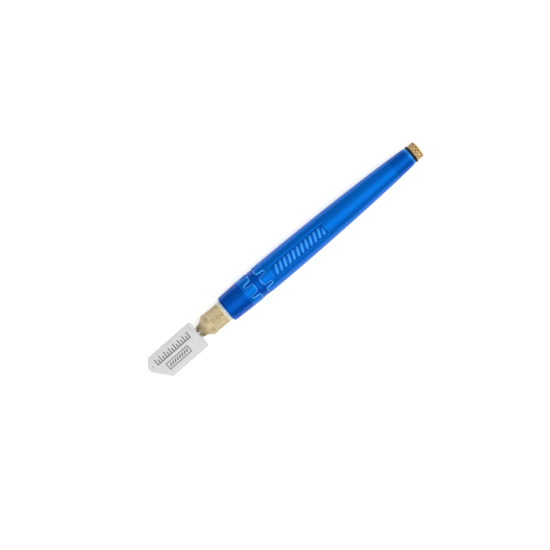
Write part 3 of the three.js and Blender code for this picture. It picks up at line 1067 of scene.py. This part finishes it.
def barrel_tone(x, theta):
    """Painted light and shade on the barrel's side: painted shade over the threads inside it with painted
    highlights on their crests, painted shade and highlights on the grip's figures and the ribbed panel, and
    a painted highlight on the rear lip.
    """
    ribs = panel(x, theta)
    edge = grip_distance(x, theta)
    # painted shade inside the grip's figures and along the inside of their outline, painted highlight along
    # its outside
    inside = 0.5 * smooth(0.1, -0.3, edge)
    figures = inside + 0.5 * bell(edge + 0.35, 0.25) - 1.1 * bell(edge - 0.25, 0.25)
    # painted shade over the threads behind the wall, with painted highlights on their crests
    front_crest = smooth(0.7, 1, thread(x, theta, FERRULE_PITCH))
    rear_crest = smooth(0.7, 1, thread(x, theta, CAP_PITCH))
    front_band = smooth(0.15, -0.15, x - THREAD_REAR) * (0.7 - 0.45 * front_crest)
    rear_band = smooth(-0.15, 0.15, x - CAP_THREAD_FRONT) * (0.5 - 0.4 * rear_crest)
    # painted highlight: a light line along the rear lip
    lip_highlight = 1.3 * smooth(-0.75, -0.45, x - BARREL_REAR)
    # painted shade on the sunk panel and painted highlights on its ribs
    return figures + front_band + rear_band - lip_highlight + ribs * (0.45 - 1.15 * rib(x, theta))


def barrel():
    """Hollow acrylic barrel: pencil-shaped, with shallow relief, and threaded at both ends of its bore."""
    front, rear = BARREL_FRONT, BARREL_REAR
    filler = dense(rear - 0.5, FILLER_FRONT + 0.4, CAP_PITCH / 8, lambda x: FILLER_R)
    chamber = [(FILLER_FRONT, FILLER_R), (front + 81.2, RESERVOIR_R), (SOCKET_REAR + 0.1, RESERVOIR_R)]
    socket = dense(SOCKET_REAR - 0.4, front + 0.6, FERRULE_PITCH / 8, lambda x: SOCKET_R)
    rows = [("side", p) for p in barrel_outside()]
    rows += [("plain", (rear, 4.05))]
    rows += [("filler", p) for p in filler]
    rows += [("plain", p) for p in fillet(chamber, 0.4, steps=3, closed=False)]
    rows += [("socket", p) for p in socket]
    rows += [("plain", (front, 5.2))]
    kinds = [kind for kind, _ in rows]

    def relief(i, x, r, theta):
        return barrel_relief(kinds[i], x, r, theta)

    def tone(i, x, theta):
        return barrel_tone(x, theta) if kinds[i] == "side" else 0

    facets = 240
    profile = [p for _, p in rows]
    obj = revolve("barrel_shell", profile, acrylic, facets, relief, sharp=50, tone=tone)
    # the bore's threaded faces get the painted shade of the thread seen through the wall
    obj.data.materials.append(thread_shade)
    threaded = [int(kind in ("filler", "socket")) for kind in kinds for _ in range(facets)]
    obj.data.polygons.foreach_set("material_index", threaded)
    return obj


# ---- filler cap --------------------------------------------------------------------------------


CAP_NECK_R = 3.3
CAP_THREAD_R = 3.8
CAP_FLANGE_R = 4.7
CAP_RIM = 0.6


def filler_cap():
    """Knurled brass cap with a fine flange and a rounded rim, and its threaded shank."""
    head_front = O_RING_REAR + 0.02
    neck_front = BARREL_REAR - 0.5
    knurl_front, knurl_rear = head_front + 0.4, CAP_END - 0.75
    threads = dense(CAP_THREAD_FRONT + 0.3, neck_front, CAP_PITCH / 8, lambda x: CAP_THREAD_R)
    head_side = dense(knurl_front + 0.1, knurl_rear, 0.12, lambda x: CAP_R)
    rim = []
    for k in range(9):
        turn = math.pi * k / 16
        rim.append((CAP_END - CAP_RIM + CAP_RIM * math.sin(turn), 4.05 + CAP_RIM * math.cos(turn)))
    profile = [
        (CAP_THREAD_FRONT, 0),
        (CAP_THREAD_FRONT, 3.2),
        *threads,
        (neck_front + 0.1, CAP_NECK_R),
        (head_front, CAP_NECK_R),
        (head_front, CAP_FLANGE_R - 0.1),
        (head_front + 0.08, CAP_FLANGE_R),
        (head_front + 0.25, CAP_FLANGE_R),
        (knurl_front, CAP_FLANGE_R - 0.2),
        *head_side,
        *rim,
        (CAP_END, 3.2),
        (CAP_END - 0.06, 3.0),
        (CAP_END - 0.06, 0),
    ]

    def relief(i, x, r, theta):
        if r == CAP_THREAD_R:
            fade = smooth(0, 0.6, neck_front - x) * smooth(0, 0.6, x - CAP_THREAD_FRONT)
            return 3.36 + CAP_THREAD_DEPTH * thread(x, theta, CAP_PITCH) * fade
        if r == CAP_R:
            fade = smooth(0, 0.2, x - knurl_front) * smooth(0, 0.3, knurl_rear - x)
            return r - 0.02 - CAP_KNURL_DEPTH * (1 - knurl(x, theta, 13, 2.0) * fade)
        return r

    return revolve("cap_turned", profile, gold_brass, facets=288, relief=relief, sharp=30)


def o_ring():
    r = (O_RING_REAR - O_RING_FRONT) / 2
    middle = (O_RING_FRONT + O_RING_REAR) / 2
    angles = [2 * math.pi * k / 24 for k in range(24)]
    circle = [(middle - r * math.cos(a), 4.15 + r * math.sin(a)) for a in angles]
    return revolve("o_ring_torus", circle, rubber)


def build_handle():
    piece(barrel(), "handle", "blue_plastic", "barrel")
    piece(filler_cap(), "cap", "brass", "filler_cap")
    piece(o_ring(), "cap_seal", "rubber", "cap_o_ring")


build_head()
build_ferrule()
build_handle()

# ---- stage, light and camera -------------------------------------------------------------------

FLOOR_HALF = 3.0
FLOOR_GLOW = 0.5


def floor():
    """Pale floor that the tool lies on: a light table, softly lit from below."""
    half = FLOOR_HALF
    verts = [(-half, -half, 0), (half, -half, 0), (half, half, 0), (-half, half, 0)]
    material, tree, shader = new_material(
        "pale_floor",
        Roughness=0.9,
        Specular_IOR_Level=0.1,
        Emission_Color=(1, 1, 1, 1),
        Emission_Strength=FLOOR_GLOW,
    )
    cloud = noise(tree, object_coordinates(tree), 3, 2)
    tree.links.new(ramp(tree, cloud, (0.3, (0.68,) * 3), (0.7, (0.7,) * 3)), shader.inputs["Base Color"])
    obj = make_object("studio_floor", verts, [(0, 1, 2, 3)], material)


def area_light(name, place, aim, width, length, power):
    light = bpy.data.lights.new(name, "AREA")
    light.shape = "RECTANGLE"
    light.size = width
    light.size_y = length
    light.energy = power
    obj = bpy.data.objects.new(name, light)
    bpy.context.scene.collection.objects.link(obj)
    obj.location = place
    obj.rotation_euler = (Vector(aim) - Vector(place)).to_track_quat("-Z", "Y").to_euler()


SKY_LOW = 0.1
SKY_HIGH = 0.45
SKY_AIM = (0, 0.1, 0.99)
STRIP = 1.7
STRIP_TILT = math.radians(15)
SOFTBOX_PLACE = (0.0, -0.5, 0.5)


def studio():
    """Soft light: a sky that is brightest overhead, a broad soft band of light and a weak softbox.

    The band runs along X over the tool, leaning towards its -Y side.
    """
    world = bpy.data.worlds.new("studio")
    bpy.context.scene.world = world
    world.use_nodes = True
    tree = world.node_tree
    background = tree.nodes["Background"]
    direction = node(tree, "ShaderNodeTexCoord").outputs["Generated"]
    height = node(tree, "ShaderNodeVectorMath", {0: direction, 1: SKY_AIM}, operation="DOT_PRODUCT")
    sky = ramp(tree, height.outputs["Value"], (0.05, (SKY_LOW,) * 3), (0.8, (SKY_HIGH,) * 3))
    side = (0, math.cos(STRIP_TILT), math.sin(STRIP_TILT))
    beside = node(tree, "ShaderNodeVectorMath", {0: direction, 1: side}, operation="DOT_PRODUCT")
    distance = node(tree, "ShaderNodeMath", {0: beside.outputs["Value"]}, operation="ABSOLUTE")
    strip = ramp(tree, distance.outputs["Value"], (0.12, (STRIP,) * 3), (0.68, (0, 0, 0)))
    total = node(tree, "ShaderNodeVectorMath", {0: sky, 1: strip}, operation="ADD")
    tree.links.new(total.outputs[0], background.inputs["Color"])
    background.inputs["Strength"].default_value = 1.0
    area_light("side_softbox", SOFTBOX_PLACE, (0, 0, 0), width=0.7, length=0.3, power=0.15)


ROLL = math.radians(-40)
VIEW_WIDTH = 0.275
LENS = 120
SENSOR = 36
VIEW_RIGHT = -0.00497
VIEW_UP = -0.00723


def camera():
    """Looks straight down on the head's flat face, rolled so that the tool rises to the right."""
    data = bpy.data.cameras.new("view")
    data.lens = LENS
    data.sensor_width = SENSOR
    obj = bpy.data.objects.new("view", data)
    bpy.context.scene.collection.objects.link(obj)
    distance = VIEW_WIDTH * LENS / SENSOR
    right = Vector((math.cos(ROLL), math.sin(ROLL), 0))
    up = Vector((-math.sin(ROLL), math.cos(ROLL), 0))
    centre = VIEW_RIGHT * right + VIEW_UP * up
    obj.location = centre + Vector((0, 0, AXIS_Z * MM + distance))
    obj.rotation_euler = (0, 0, ROLL)
    data.clip_end = 10
    bpy.context.scene.camera = obj


floor()
studio()
camera()
bpy.context.scene.view_settings.view_transform = "Standard"
